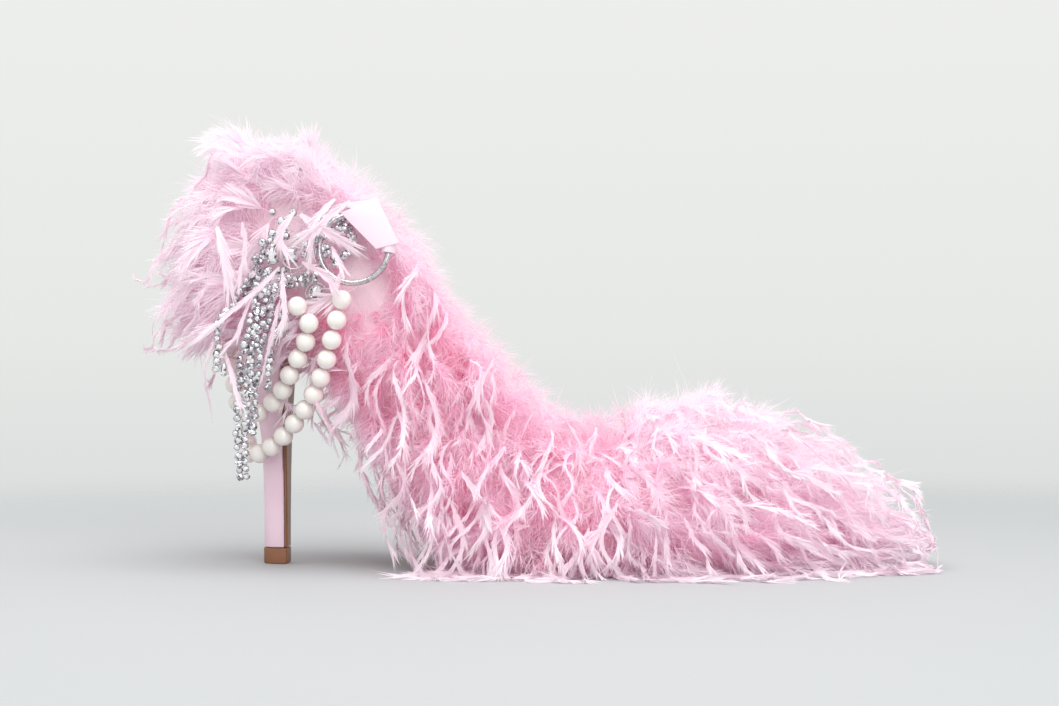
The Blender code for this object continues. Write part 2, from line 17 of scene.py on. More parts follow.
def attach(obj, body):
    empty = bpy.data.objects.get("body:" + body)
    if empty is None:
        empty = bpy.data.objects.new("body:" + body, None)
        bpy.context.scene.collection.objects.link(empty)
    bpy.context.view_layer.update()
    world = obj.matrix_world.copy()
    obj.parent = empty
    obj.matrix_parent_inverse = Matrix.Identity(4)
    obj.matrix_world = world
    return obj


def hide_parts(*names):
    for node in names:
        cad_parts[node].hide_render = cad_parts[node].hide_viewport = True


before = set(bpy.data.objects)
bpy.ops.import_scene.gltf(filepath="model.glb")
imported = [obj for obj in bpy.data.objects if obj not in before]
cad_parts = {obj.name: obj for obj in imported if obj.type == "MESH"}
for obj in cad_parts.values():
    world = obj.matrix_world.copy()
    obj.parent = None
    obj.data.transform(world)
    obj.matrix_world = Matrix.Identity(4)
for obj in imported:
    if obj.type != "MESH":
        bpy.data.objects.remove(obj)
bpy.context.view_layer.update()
MM = 0.001
print("nodes in the frame:", ", ".join(sorted(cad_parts)))

# %% [markdown]
# ## The camera
#
# The photograph was taken level, from a little under a metre away, with a short telephoto lens.
# The lens was worked out from the heel and the toe, whose places are known. Depth of field stays
# off, so that other views stay sharp too.

# %% Camera
CAMERA_PLACE = (0.0471, -0.8468, 0.087)
CAMERA_TURN = math.radians(5.0)

lens = bpy.data.cameras.new("camera")
lens.sensor_width = 36.0
lens.lens = 70.47
camera = bpy.data.objects.new("camera", lens)
camera.location = CAMERA_PLACE
camera.rotation_euler = (math.radians(90.0), 0.0, CAMERA_TURN)
bpy.context.scene.collection.objects.link(camera)
bpy.context.scene.camera = camera
bpy.context.scene.view_settings.view_transform = "Standard"
# Light goes from barb to barb many times in pale down, which is what gives its depths their colour
bpy.context.scene.cycles.max_bounces = 24
bpy.context.scene.cycles.diffuse_bounces = 10
bpy.context.scene.cycles.transmission_bounces = 16
print("camera at", CAMERA_PLACE, "with a lens of", lens.lens, "mm")

# %% [markdown]
# ## Nodes and colours
#
# Every finish in this lesson is made of shader nodes. Two small functions do all of it: one turns
# an sRGB colour, as a picker shows it, into the linear numbers that a shader wants, and the other
# adds one node with its settings and its links.

# %% Helpers for materials
def linear(code):
    """The linear colour of an sRGB hex code."""
    channels = [int(code[i : i + 2], 16) / 255 for i in (1, 3, 5)]
    curved = [c / 12.92 if c < 0.04045 else ((c + 0.055) / 1.055) ** 2.4 for c in channels]
    return (*curved, 1.0)


def add_node(tree, kind, inputs=None, stops=None, **settings):
    """One node. A value that is a socket is linked, and any other is set."""
    node = tree.nodes.new(kind)
    for name, value in settings.items():
        setattr(node, name, value)
    for name, value in (inputs or {}).items():
        if isinstance(value, bpy.types.NodeSocket):
            tree.links.new(value, node.inputs[name])
        else:
            node.inputs[name].default_value = value
    if stops:
        ramp = node.color_ramp.elements
        while len(ramp) < len(stops):
            ramp.new(0.5)
        for element, (place, code) in zip(ramp, stops):
            element.position = place
            element.color = linear(code)
    return node


def new_material(name):
    """An empty material, with its node tree and its output."""
    made = bpy.data.materials.new(name)
    made.use_nodes = True
    made.node_tree.nodes.clear()
    return made, made.node_tree, made.node_tree.nodes.new("ShaderNodeOutputMaterial")


print("pearl white is", [round(c, 3) for c in linear("#F3EFE8")])

# %% [markdown]
# ## The studio
#
# The shoe stands on a pale, matt table in soft light. The table fades out into the light around
# it, so that no edge shows behind the shoe. A large lamp overhead gives the soft light from above,
# and the world's own pale light fills the shadows.

# %% Floor, world and lamps
FLOOR_REACH = 0.9
FADE_START, FADE_END = 0.22, 0.75

floor_finish, tree, out = new_material("matt_white_laminate")
# Matt laminate: a pale, even surface whose edge fades into the studio's light
place = add_node(tree, "ShaderNodeTexCoord")
distance = add_node(tree, "ShaderNodeVectorMath", {0: place.outputs["Object"]}, operation="LENGTH")
fade = add_node(tree, "ShaderNodeMapRange", {
    "Value": distance.outputs["Value"], "From Min": FADE_START, "From Max": FADE_END,
}, interpolation_type="SMOOTHERSTEP")
matt = add_node(tree, "ShaderNodeBsdfPrincipled", {
    "Base Color": linear("#B1B3B5"), "Roughness": 0.7, "Specular IOR Level": 0.25,
})
clear = add_node(tree, "ShaderNodeBsdfTransparent")
mix = add_node(tree, "ShaderNodeMixShader", {
    "Fac": fade.outputs["Result"], 1: matt.outputs["BSDF"], 2: clear.outputs["BSDF"],
})
tree.links.new(mix.outputs["Shader"], out.inputs["Surface"])

bpy.ops.object.select_all(action="DESELECT")
bpy.ops.mesh.primitive_circle_add(vertices=96, radius=FLOOR_REACH, fill_type="NGON")
floor = bpy.context.object
floor.name = "floor"
floor.data.materials.append(floor_finish)

world = bpy.data.worlds.new("studio")
world.use_nodes = True
bpy.context.scene.world = world
tree = world.node_tree
tree.nodes.clear()
direction = add_node(tree, "ShaderNodeTexCoord")
height = add_node(tree, "ShaderNodeSeparateXYZ", {"Vector": direction.outputs["Generated"]})
# The wall grows brighter from the table up, over the little that the lens sees of it
seen = add_node(tree, "ShaderNodeMapRange", {
    "Value": height.outputs["Z"], "From Min": -0.08, "From Max": 0.18,
})
glow = add_node(tree, "ShaderNodeValToRGB", {"Fac": seen.outputs["Result"]},
                stops=((0.0, "#DADDDC"), (0.35, "#E7E9E7"), (1.0, "#EEEFED")))
light = add_node(tree, "ShaderNodeBackground", {"Color": glow.outputs["Color"], "Strength": 1.0})
out = add_node(tree, "ShaderNodeOutputWorld", {"Surface": light.outputs["Background"]})

LAMPS = (
    # name, place, size, power in watts
    ("overhead_softbox", (-0.10, -0.25, 1.10), 1.00, 10.3),
    ("front_softbox", (0.45, -1.10, 0.80), 0.80, 5.4),
)
for name, lamp_place, size, power in LAMPS:
    lamp = bpy.data.lights.new(name, "AREA")
    lamp.size = size
    lamp.energy = power
    holder = bpy.data.objects.new(name, lamp)
    holder.location = lamp_place
    aim = Vector((-0.02, 0.0, 0.08)) - Vector(lamp_place)
    holder.rotation_euler = aim.to_track_quat("-Z", "Y").to_euler()
    bpy.context.scene.collection.objects.link(holder)
print("lamps:", ", ".join(row[0] for row in LAMPS))

# %% [markdown]
# ## Where the feathers go
#
# The CAD's trim solids say how deep the feathers stand, as measured from the photograph. So each
# feather starts from the place where its tip ends, on the outside of a trim solid, and its root
# is sought on the upper, a little against the nap. That fills the measured shape evenly, and no
# table of sizes is repeated here.

# %% Read the upper and the trim solids
TRIMS = ("feathers_counter", "feathers_outer", "feathers_inner", "feathers_toe")


def unit(vectors):
    return vectors / np.maximum(np.linalg.norm(vectors, axis=-1, keepdims=True), 1e-9)


def triangles_of(node):
    """The corners of a CAD node's triangles, in millimetres, as an array of (n, 3, 3)."""
    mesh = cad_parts[node].data
    mesh.calc_loop_triangles()
    corners = np.empty(len(mesh.vertices) * 3)
    mesh.vertices.foreach_get("co", corners)
    index = np.empty(len(mesh.loop_triangles) * 3, np.int32)
    mesh.loop_triangles.foreach_get("vertices", index)
    return corners.reshape(-1, 3)[index].reshape(-1, 3, 3) / MM


def tree_of(*nodes):
    """A tree of CAD nodes' triangles, for rays and nearest points."""
    corners = np.concatenate([triangles_of(node) for node in nodes]).reshape(-1, 3)
    return BVHTree.FromPolygons(
        [tuple(c) for c in corners], [(i, i + 1, i + 2) for i in range(0, len(corners), 3)]
    )


def nearest(tree, points):
    """The nearest places on a tree and the directions of its faces there."""
    found = [tree.find_nearest(Vector(p)) for p in points]
    return np.array([tuple(f[0]) for f in found]), np.array([tuple(f[1]) for f in found])


UPPER = tree_of("upper")
TRIM_TREES = {name: tree_of(name) for name in TRIMS}
ALL_TRIM = tree_of(*TRIMS)
print("triangles:", {name: len(triangles_of(name)) for name in TRIMS})


# %% Spread points over the outside of a trim
LINING_GAP = 2.6  # a face this near the upper is the trim's own lining
JOINT_GAP = 1.2  # a face with another trim this near is a joint


def is_outside(trim, middle, normal):
    """Whether a face of a trim solid shows: not its lining, nor its joint with the next trim."""
    start = Vector(middle)
    if UPPER.find_nearest(start)[3] < LINING_GAP:
        return False
    return all(
        tree.ray_cast(start + Vector(normal) * 0.02, Vector(normal), JOINT_GAP)[0] is None
        for name, tree in TRIM_TREES.items() if name != trim
    )


def spread_points(trim, spacing, random):
    """Points on the outside of a trim solid, no closer than spacing, with their normals."""
    corners = triangles_of(trim)
    edges = np.cross(corners[:, 1] - corners[:, 0], corners[:, 2] - corners[:, 0])
    area, normals = np.linalg.norm(edges, axis=1) / 2, unit(edges)
    shown = [is_outside(trim, m, n) for m, n in zip(corners.mean(axis=1), normals)]
    chance = np.where(shown, area, 0.0)
    wanted = int(chance.sum() / spacing**2 * 4)
    faces = random.choice(len(corners), wanted, p=chance / chance.sum())
    a, b = random.random((2, wanted, 1))
    a, b = np.where(a + b > 1, 1 - a, a), np.where(a + b > 1, 1 - b, b)
    c = corners[faces]
    points = c[:, 0] + a * (c[:, 1] - c[:, 0]) + b * (c[:, 2] - c[:, 0])
    kept, cells = [], {}
    for i, cell in enumerate(map(tuple, (points // spacing).astype(int))):
        near = [
            j
            for dx in (-1, 0, 1) for dy in (-1, 0, 1) for dz in (-1, 0, 1)
            for j in cells.get((cell[0] + dx, cell[1] + dy, cell[2] + dz), ())
        ]
        if all(np.linalg.norm(points[j] - points[i]) > spacing for j in near):
            cells.setdefault(cell, []).append(i)
            kept.append(i)
    return points[kept], normals[faces[kept]]


# %% [markdown]
# ## Strips
#
# A feather is a shaft with hundreds of soft barbs. Each barb here is a flat strip of a few faces
# that narrows to a point, because a strip is the cheapest shape that still catches light as a
# barb does. The strips of a whole piece go into one mesh, straight from arrays. A colour
# attribute, tone, says for each point how far out of the trim it is: 0 deep inside, 1 at a tip.

# %% Strips into one mesh
# The photograph shows how far the feathers reach: to the toe, to the back and to both sides
REACH_LOW, REACH_HIGH = (-184.0, -60.0, 0.15), (130.0, 60.0, 177.0)
REACH_SOFT, REACH_SLACK = 9.0, 4.0


def within_reach(points, slack=0.0):
    """Points beyond the reach drawn back softly, so that no feather sticks far out."""
    low, high = np.array(REACH_LOW) - (slack, slack, 0), np.array(REACH_HIGH) + slack
    over, under = np.clip(points - high, 0, None), np.clip(low - points, 0, None)
    under[..., 2] = 0
    over, under = (REACH_SOFT * np.tanh(past / REACH_SOFT / 1.6) for past in (over, under))
    return np.clip(points, low, high) + over - under


def strip_faces(centres, widths, facing, tone):
    """Points, tones and faces of strips along centre lines, narrowing to their last point."""
    count, steps = centres.shape[:2]
    along = np.gradient(centres, axis=1)
    across = unit(np.cross(along, facing)) * widths[..., None] / 2
    points = np.empty((count, 2 * steps - 1, 3))
    points[:, 0:-1:2] = (centres + across)[:, :-1]
    points[:, 1:-1:2] = (centres - across)[:, :-1]
    points[:, -1] = centres[:, -1]
    tones = np.empty((count, 2 * steps - 1))
    tones[:, 0:-1:2] = tones[:, 1:-1:2] = tone[:, :-1]
    tones[:, -1] = tone[:, -1]
    pattern = [(2 * j, 2 * j + 1, 2 * j + 3, 2 * j + 2) for j in range(steps - 2)]
    start = np.arange(count)[:, None, None] * (2 * steps - 1)
    quads = (start + np.array(pattern)[None]).reshape(-1, 4)
    tips = start[:, 0] + np.array((2 * steps - 4, 2 * steps - 3, 2 * steps - 2))
    return points.reshape(-1, 3), tones.reshape(-1), quads, tips


def strip_mesh(name, batches, finish):
    """One object from batches of strips, each (centres, widths, facing, tone)."""
    points, tones, faces, start = [], [], [], 0
    for batch in batches:
        p, t, quads, tips = strip_faces(*batch)
        points.append(p)
        tones.append(t)
        faces += (quads + start).tolist() + (tips + start).tolist()
        start += len(p)
    points, tones = np.concatenate(points), np.concatenate(tones)
    points = within_reach(points, REACH_SLACK)
    mesh = bpy.data.meshes.new(name)
    mesh.from_pydata((points * MM).tolist(), [], faces)
    layer = mesh.color_attributes.new("tone", "FLOAT_COLOR", "POINT")
    colours = np.ones((len(tones), 4))
    colours[:, :3] = np.clip(tones, 0, 1)[:, None]
    layer.data.foreach_set("color", colours.ravel())
    mesh.materials.append(finish)
    mesh.shade_smooth()
    made = bpy.data.objects.new(name, mesh)
    bpy.context.scene.collection.objects.link(made)
    print(f"{name}: {sum(len(f) - 2 for f in faces)} triangles")
    return made


# %% [markdown]
# ## How feathers lie
#
# A feather trim has a nap. Round the counter the tips sweep up and back, on the quarters they
# hang down, and over the toe they sweep forward to the floor. The nap is a smooth field of
# directions along the shoe, laid flat on the surface at each point.

# %% The nap
NAP = (
    # x along the shoe, then the direction in which the tips point: forward and up
    (-160.0, -0.80, -0.50), (-125.0, -0.70, -0.45), (-100.0, -0.40, -0.80), (-60.0, -0.25, -0.95),
    (-10.0, -0.05, -1.00), (30.0, 0.40, -0.85), (70.0, 0.80, -0.50), (100.0, 0.95, -0.25),
)


def nap_at(points, normals, random=None, disorder=0.0):
    """The direction of the tips at each point, flat on the surface, with some disorder."""
    stations, ahead, up = np.array(NAP).T
    lay = np.zeros_like(points)
    lay[:, 0] = np.interp(points[:, 0], stations, ahead)
    lay[:, 2] = np.interp(points[:, 0], stations, up)
    lay[:, 1] = np.sign(points[:, 1]) * 0.4 * np.clip(normals[:, 2], 0, 1)
    if random is not None:
        lay += random.normal(0, disorder, lay.shape)
    lay -= normals * np.sum(lay * normals, axis=1, keepdims=True) * 0.9
    return unit(lay)


# %% [markdown]
# ## Barbs along a shaft
#
# A feather is a bent shaft with barbs to both sides. Marabou barbs don't hook together, so each
# floats alone. The barbs of hackles and of the long ribbons lie close, in a vane with a combed
# edge. One function makes them all, from how far the barbs splay, how flat they lie, how much
# they curl and how wide they are.

# %% Shafts and barbs
# A barb's joints, each with its place along the barb and its share of the full width
FLOATING_BARB = np.array(((0.0, 1.0), (0.5, 0.8), (1.0, 0.0)))
COMBED_BARB = np.array(((0.0, 1.0), (0.6, 0.75), (1.0, 0.0)))
GRAVITY = np.array((0.0, 0.0, -1.0))

def bezier(corners):
    """A function that gives places on cubic curves: t is (count, n)."""
    a, b, c, d = (corner[:, None] for corner in corners)

    def place(t):
        t = t[..., None]
        return a * (1 - t) ** 3 + 3 * b * t * (1 - t) ** 2 + 3 * c * t * t * (1 - t) + d * t**3

    return place


def along_path(path):
    """A function that gives places on smooth curves through the points of each path."""
    steps = path.shape[1] - 1
    row = np.arange(len(path))[:, None]

    def place(t):
        at = np.clip(t, 0, 1) * steps
        low = np.minimum(at.astype(int), steps - 1)
        s = (at - low)[..., None]
        a, b = path[row, np.maximum(low - 1, 0)], path[row, low]
        c, d = path[row, low + 1], path[row, np.minimum(low + 2, steps)]
        return 0.5 * (2 * b + (c - a) * s + (2 * a - 5 * b + 4 * c - d) * s**2
                      + (3 * b - a - 3 * c + d) * s**3)

    return place


def barbed(shaft, up, count, random, barbs, length, width, splay, scatter, curl, droop, turn,
           tone, start=0.08, stray=0.04, blade=None, profile=(1.15, 0.75), joints=COMBED_BARB):
    """Shafts and their barbs, as strips. splay gives a barb's angle in degrees, its spread and
    its change to the tip. tone gives the base's tone, the gain along the shaft and along a barb.
    profile gives the length of the barbs near the root and near the tip. blade is the width of
    the flat middle of a ribbon, and without it there is only the thin shaft."""
    t = np.tile(np.linspace(0, 1, 9 if blade is None else 17), (count, 1))
    base_tone = tone[0] + random.normal(0.0, 0.08, count)
    shape = 0.45 * (1 - t) + 0.06
    if blade is not None:
        shape = blade[:, None] * np.interp(t, (0.0, 0.25, 0.7, 1.0), (0.45, 0.9, 1.0, 0.05))
    batches = [(shaft(t), shape, up(t), base_tone[:, None] + tone[1] * t + 0.12)]

    along = np.sort(random.uniform(start, 1.0, (count, barbs)), axis=1)
    base = shaft(along)
    ahead = unit(shaft(np.minimum(along + 0.02, 1.0)) - shaft(along - 0.02))
    face = up(along)
    side = unit(np.cross(ahead, face)) * random.choice((-1, 1), (count, barbs, 1))
    above = unit(np.cross(side, ahead))
    above = above * np.sign(np.sum(above * face, axis=2, keepdims=True) + 1e-6)
    angle = np.radians(random.normal(splay[0], splay[1], (count, barbs)) + splay[2] * along)
    angle = angle[..., None]
    leave = unit(
        ahead * np.cos(angle) + side * np.sin(angle)
        + above * random.normal(scatter * 0.3, scatter, (count, barbs, 1))
    )
    size = np.broadcast_to(length, count)[:, None]
    long = size * random.uniform(0.6, 1.2, (count, barbs)) * np.interp(
        along, (0.0, 0.5, 1.0), (profile[0], 1.0, profile[1]))
    loose = random.random((count, barbs)) < stray
    long = np.where(loose, long * 1.6, long)[..., None, None]
    s, steps = joints[:, :1], len(joints)
    bend = random.normal(0, curl, (count, barbs, 1, 3)) + GRAVITY * droop
    centres = base[:, :, None] + long * (
        leave[:, :, None] * s + (ahead[:, :, None] * 0.35 + bend) * s**2
    )
    widths = width * np.where(loose, 0.6, 1.0)[..., None] * joints[:, 1]
    twist = random.normal(0, turn, (count, barbs, 1))
    facing = above * np.cos(twist) + side * np.sin(twist)
    tones = base_tone[:, None, None] + tone[1] * along[..., None] + tone[2] * joints[:, 0]
    merged = count * barbs
    batches.append((
        centres.reshape(merged, steps, 3), widths.reshape(merged, steps),
        np.repeat(facing.reshape(merged, 1, 3), steps, axis=1), tones.reshape(merged, steps),
    ))
    return batches


def shaft_corners(tips, normals, lay, random, reach, sway=2.0):
    """Roots on the upper and the two middle corners of the curve from each to its tip."""
    length = random.uniform(*reach, (len(tips), 1))
    roots, away = nearest(UPPER, tips - lay * length)
    away = away * np.sign(np.sum(away * (tips - roots), axis=1, keepdims=True) + 1e-6)
    gap = np.linalg.norm(tips - roots, axis=1, keepdims=True)
    lift = roots + away * gap * 0.5 + random.normal(0, sway, roots.shape)
    approach = tips - (lay * 0.55 - normals * 0.1) * gap + random.normal(0, sway, roots.shape)
    return roots, lift, approach, tips


# %% [markdown]
# ## Feather finishes
#
# Dyed marabou is matt and lets light through, so its edges glow and its depths turn a stronger
# pink, as light goes from barb to barb. The tone attribute adds painted shade on top of this: a
# hotter pink deep in the down, paling to the nearly white tips.

# %% Materials of feathers
def feather_finish(name, stops, glow, through):
    """Dyed feather: matt, a little shiny along the barb, lit through from behind, and coloured by a
    ramp over the tone attribute, which carries painted shade and painted light.
    """
    made, tree, out = new_material(name)
    tone = add_node(tree, "ShaderNodeAttribute", attribute_name="tone")
    colour_ramp = add_node(tree, "ShaderNodeValToRGB", {"Fac": tone.outputs["Fac"]}, stops=stops)
    surface = add_node(tree, "ShaderNodeBsdfPrincipled", {
        "Base Color": colour_ramp.outputs["Color"], "Roughness": 0.55, "IOR": 1.45,
        "Specular IOR Level": 0.3, "Sheen Weight": glow, "Sheen Roughness": 0.4,
    })
    lit = add_node(tree, "ShaderNodeBsdfTranslucent", {"Color": colour_ramp.outputs["Color"]})
    both = add_node(tree, "ShaderNodeMixShader", {
        "Fac": through, 1: surface.outputs["BSDF"], 2: lit.outputs["BSDF"],
    })
    tree.links.new(both.outputs["Shader"], out.inputs["Surface"])
    return made


# Painted shade: the low end of each ramp is the deeper pink given to barbs that lie deep in the trim
DOWN = feather_finish("dyed_marabou_down", (
    (0.0, "#FEBCD8"), (0.35, "#FEDEED"), (0.68, "#FEF0F8"), (1.0, "#FEF8FC"),
), 0.2, 0.5)
VANE = feather_finish("dyed_feather_vane", (
    (0.0, "#FED8EA"), (0.5, "#FEEFF7"), (1.0, "#FEF7FB"),
), 0.2, 0.4)


# %% Down on every trim
def feather_piece(made, trim=None):
    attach(made, "root")
    if trim:
        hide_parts(trim)
    return made


def in_bed(points):
    """Whether points lie where the brooch, the chains and the ring lie on the outer side."""
    x, y, z = points.T
    above, below = 147 - 0.2 * (x + 120), 96 - 0.4 * (x + 100)
    return (y < 0) & (x > -141) & (x < -79) & (z > below) & (z < above)


BED_SINK = 5.0


def down_piece(name, trim, seed, spacing, barbs, length, reach, sink=3.0, tone=(0.0, 0.6, 0.34)):
    random = np.random.default_rng(seed)
    tips, normals = spread_points(trim, spacing, random)
    lay = nap_at(tips, normals, random, 0.3)
    sunk = sink + BED_SINK * in_bed(tips)[:, None]
    # Painted light: down that faces up, and down high on the trim and round the collar, gets a paler
    # tone, as the overhead light falls most there
    lift = 0.22 * np.clip(normals[:, 2], 0, 1) + 0.3 * np.clip((tips[:, 2] - 90) / 50, 0, 1)
    corners = shaft_corners(tips - normals * sunk, normals, lay, random, reach)
    batches = barbed(
        bezier(corners), lambda t: np.broadcast_to(normals[:, None], (*t.shape, 3)), len(tips),
        random, barbs, length * np.where(in_bed(tips), 0.5, 1.0), 0.26, (64, 14, -30), 0.3,
        0.2, 0.1, 0.9, (tone[0] + lift, *tone[1:]), joints=FLOATING_BARB)
    return feather_piece(strip_mesh(name, batches, DOWN), trim)


down_piece("counter_down", "feathers_counter", 11, 5.0, 76, 9.0, (6, 18), tone=(0.06, 0.6, 0.34))
down_piece("outer_down", "feathers_outer", 12, 4.9, 96, 8.5, (6, 18))
down_piece("inner_down", "feathers_inner", 13, 6.4, 84, 9.0, (6, 18))
down_piece("toe_down", "feathers_toe", 14, 5.5, 96, 10.0, (8, 26), tone=(0.12, 0.6, 0.34))


# %% [markdown]
# ## Ribbons
#
# Over the down lie long pale ribbons: narrow feathers a few millimetres wide, stripped to a comb
# along their edges, that bend in long curves. Each runs along the nap over the outside of the
# trim, and lies down on the floor where it reaches it.

# %% Ribbon paths and their barbs
def ribbon_paths(starts, normals, length, random, steps=13, proud=1.5, wave=0.6, turn=0.6):
    """Paths over the outside of the trims, from each start along the nap."""
    point, count = starts.copy(), len(starts)
    step = (length / (steps - 1))[:, None]
    phase, speed = random.uniform(0, 6.28, (2, count, 1))
    heading = nap_at(point, normals, random, turn)
    path, facing = [point.copy()], [normals.copy()]
    for i in range(1, steps):
        on_trim, out = nearest(ALL_TRIM, point)
        lay = nap_at(point, out)
        side = np.cross(out, lay)
        sway = np.sin(phase + (0.35 + speed * 0.07) * i) * wave
        heading = unit(heading * 1.6 + lay * 0.6 + side * sway + GRAVITY * 0.25)
        point = point + heading * step
        on_trim, out = nearest(ALL_TRIM, point)
        height = np.sum((point - on_trim) * out, axis=1, keepdims=True)
        want = proud + 1.5 * np.sin(phase * 2 + i * 0.7)
        # Past the toe a ribbon lies down at once, and elsewhere it hangs a little free
        free = 0.15 + 0.4 * np.clip((point[:, :1] - 85.0) / 35.0, 0, 1)
        point = point + out * (want - height) * np.where(height < want, 0.7, free)
        under = np.clip(0.5 + 0.3 * want - point[:, 2:], 0, None)
        away = unit(out * np.array((1.0, 1.0, 0.0)) + lay * np.array((1.0, 1.0, 0.0)))
        point = point + under * away * 0.6
        point[:, 2:] += under
        heading = unit(np.where(under > 0, heading * np.array((1, 1, 0.1)) + away * 0.5, heading))
        path.append(point.copy())
        facing.append(out.copy())
    return within_reach(np.stack(path, axis=1)), np.stack(facing, axis=1)


def ribbon_batches(path, facing, width, random, barbs=110, tone=(0.4, 0.5, 0.12)):
    """Narrow vanes along paths: barbs at a small angle, close together, with a combed edge."""
    twist = random.normal(0, (0.3, 0.5), (len(path), 2))
    turn = twist[:, :1] + twist[:, 1:] * np.linspace(0, 1, path.shape[1])
    along = unit(np.gradient(path, axis=1))
    across = unit(np.cross(along, facing))
    flat = unit(np.cross(across, along))
    face = flat * np.cos(turn)[..., None] + across * np.sin(turn)[..., None]
    return barbed(
        along_path(path), along_path(face), len(path), random, barbs, width * 1.5, 0.5,
        (21, 3, -8), 0.04, 0.04, 0.0, 0.15, tone, 0.02, 0.02, width * 0.55, (0.7, 0.9))


def ribbon_piece(name, trim, seed, spacing, length, width, **shape):
    random = np.random.default_rng(seed)
    starts, normals = spread_points(trim, spacing, random)
    lengths = random.uniform(*length, len(starts))
    path, facing = ribbon_paths(starts - normals * 1.0, normals, lengths, random, **shape)
    clear = ~in_bed(path.reshape(-1, 3)).reshape(path.shape[:2]).any(axis=1)
    path, facing = path[clear], facing[clear]
    wide = random.uniform(*width, len(path))
    return feather_piece(strip_mesh(name, ribbon_batches(path, facing, wide, random), VANE))


ribbon_piece("outer_ribbons", "feathers_outer", 21, 7.8, (26, 56), (2.0, 4.4), wave=0.8)
ribbon_piece("inner_ribbons", "feathers_inner", 22, 9.0, (26, 56), (2.0, 4.4), wave=0.8)
ribbon_piece("toe_ribbons", "feathers_toe", 23, 9.0, (20, 44), (1.8, 3.6))
ribbon_piece("counter_ribbons", "feathers_counter", 24, 15.0, (18, 32), (1.8, 3.4),
             proud=-0.5, wave=0.3)


# %% Vanes on the counter and the toe
def vane_piece(name, trim, seed, spacing, reach, width, barbs=80):
    """Flat hackles over the down, with barbs that lie close together."""
    random = np.random.default_rng(seed)
    tips, normals = spread_points(trim, spacing, random)
    open_side = ~in_bed(tips)
    tips, normals = tips[open_side], normals[open_side]
    lay = nap_at(tips, normals, random, 0.25)
    corners = shaft_corners(tips - normals * 1.5, normals, lay, random, reach, 1.5)
    batches = barbed(
        bezier(corners), lambda t: np.broadcast_to(normals[:, None], (*t.shape, 3)), len(tips),
        random, barbs, width, 0.75, (34, 5, -16), 0.05, 0.05, 0.02, 0.25, (0.4, 0.5, 0.2), 0.3,
        0.02)
    return feather_piece(strip_mesh(name, batches, VANE))


vane_piece("counter_vanes", "feathers_counter", 31, 8.0, (18, 34), 8.5)
vane_piece("toe_vanes", "feathers_toe", 32, 13.0, (20, 36), 6.0)


# %% Locks that hang over the stones
LOCKS = (
    # width, then the route as x and z; each lies in front of the stones, LOCK_OUT from the middle
    (3.6, ((-123, 121), (-129, 114), (-138, 106), (-145, 100), (-151, 96))),
    (3.4, ((-122, 120), (-121, 112), (-120, 103), (-122, 95))),
    (4.0, ((-117, 143), (-120, 138), (-122, 132), (-119, 126))),
    (6.0, ((-115, 142), (-109, 138), (-102, 134), (-95, 130))),
    (6.0, ((-148, 137), (-145, 129), (-143, 121), (-142, 114))),
    (5.0, ((-101, 148), (-107, 141), (-110, 133), (-110, 124))),
    (4.6, ((-95, 147), (-101, 142), (-106, 137), (-113, 133))),
    (4.0, ((-138, 139), (-136, 132), (-136, 125), (-138, 116))),
    (4.0, ((-114, 123), (-108, 120), (-103, 117), (-100, 112))),
    (3.0, ((-102, 129), (-99, 124), (-97, 120), (-99, 114))),
    (3.0, ((-143, 101), (-148, 93), (-152, 84), (-152, 76), (-150, 68), (-149, 61))),
    (2.6, ((-145, 87), (-142, 80), (-140, 73), (-138, 67))),
    (2.6, ((-123, 108), (-124, 100), (-126, 91), (-129, 78))),
    (3.0, ((-133, 113), (-136, 103), (-139, 94), (-145, 87))),
)
LOCK_OUT, LOCK_STEPS = 42.5, 13

random = np.random.default_rng(41)
lock_paths = []
for _, route in LOCKS:
    t = np.linspace(0, 1, len(route))
    at = np.linspace(0, 1, LOCK_STEPS)
    x, z = (np.interp(at, t, [p[k] for p in route]) for k in (0, 1))
    y = -LOCK_OUT + 5.0 * (1 - at) ** 3 + random.normal(0, 0.6)
    lock_paths.append(np.stack((x, y, z), axis=1))
lock_paths = np.array(lock_paths)
facing = np.broadcast_to(np.array((0.0, -1.0, 0.1)), lock_paths.shape)
lock_widths = np.array([row[0] for row in LOCKS])
feather_piece(strip_mesh("locks_over_stones", ribbon_batches(
    lock_paths, facing, lock_widths, random, 90, (0.45, 0.4, 0.12)), VANE))


# %% [markdown]
# ## Satin, leather and lining
#
# The heel is covered in satin, a weave whose long smooth threads give it a soft streak of light.
# The sole and the top lift are brown leather and moulded rubber, and the inside of the shoe is
# lined in pale kid leather. Each keeps its CAD shape where that is already right.

# %% Cloth and leather finishes
def satin_finish(name, colour, shade):
    """Duchess satin: fine crosswise threads 0.25 mm apart, drawn coarser than life to show."""
    made, tree, out = new_material(name)
    place = add_node(tree, "ShaderNodeTexCoord")
    threads = add_node(tree, "ShaderNodeTexWave", {
        "Vector": place.outputs["Object"], "Scale": 1000.0, "Distortion": 1.5, "Detail": 2.0,
    }, bands_direction="Z")
    cloud = add_node(tree, "ShaderNodeTexNoise", {
        "Vector": place.outputs["Object"], "Scale": 60.0, "Detail": 3.0,
    })
    colour_ramp = add_node(tree, "ShaderNodeValToRGB", {"Fac": cloud.outputs["Fac"]},
                   stops=((0.35, shade), (0.65, colour)))
    bump = add_node(tree, "ShaderNodeBump", {
        "Height": threads.outputs["Fac"], "Strength": 0.12, "Distance": 0.0001,
    })
    cloth = add_node(tree, "ShaderNodeBsdfPrincipled", {
        "Base Color": colour_ramp.outputs["Color"], "Roughness": 0.42, "IOR": 1.5,
        "Sheen Weight": 0.35, "Sheen Roughness": 0.3, "Normal": bump.outputs["Normal"],
    })
    tree.links.new(cloth.outputs["BSDF"], out.inputs["Surface"])
    return made


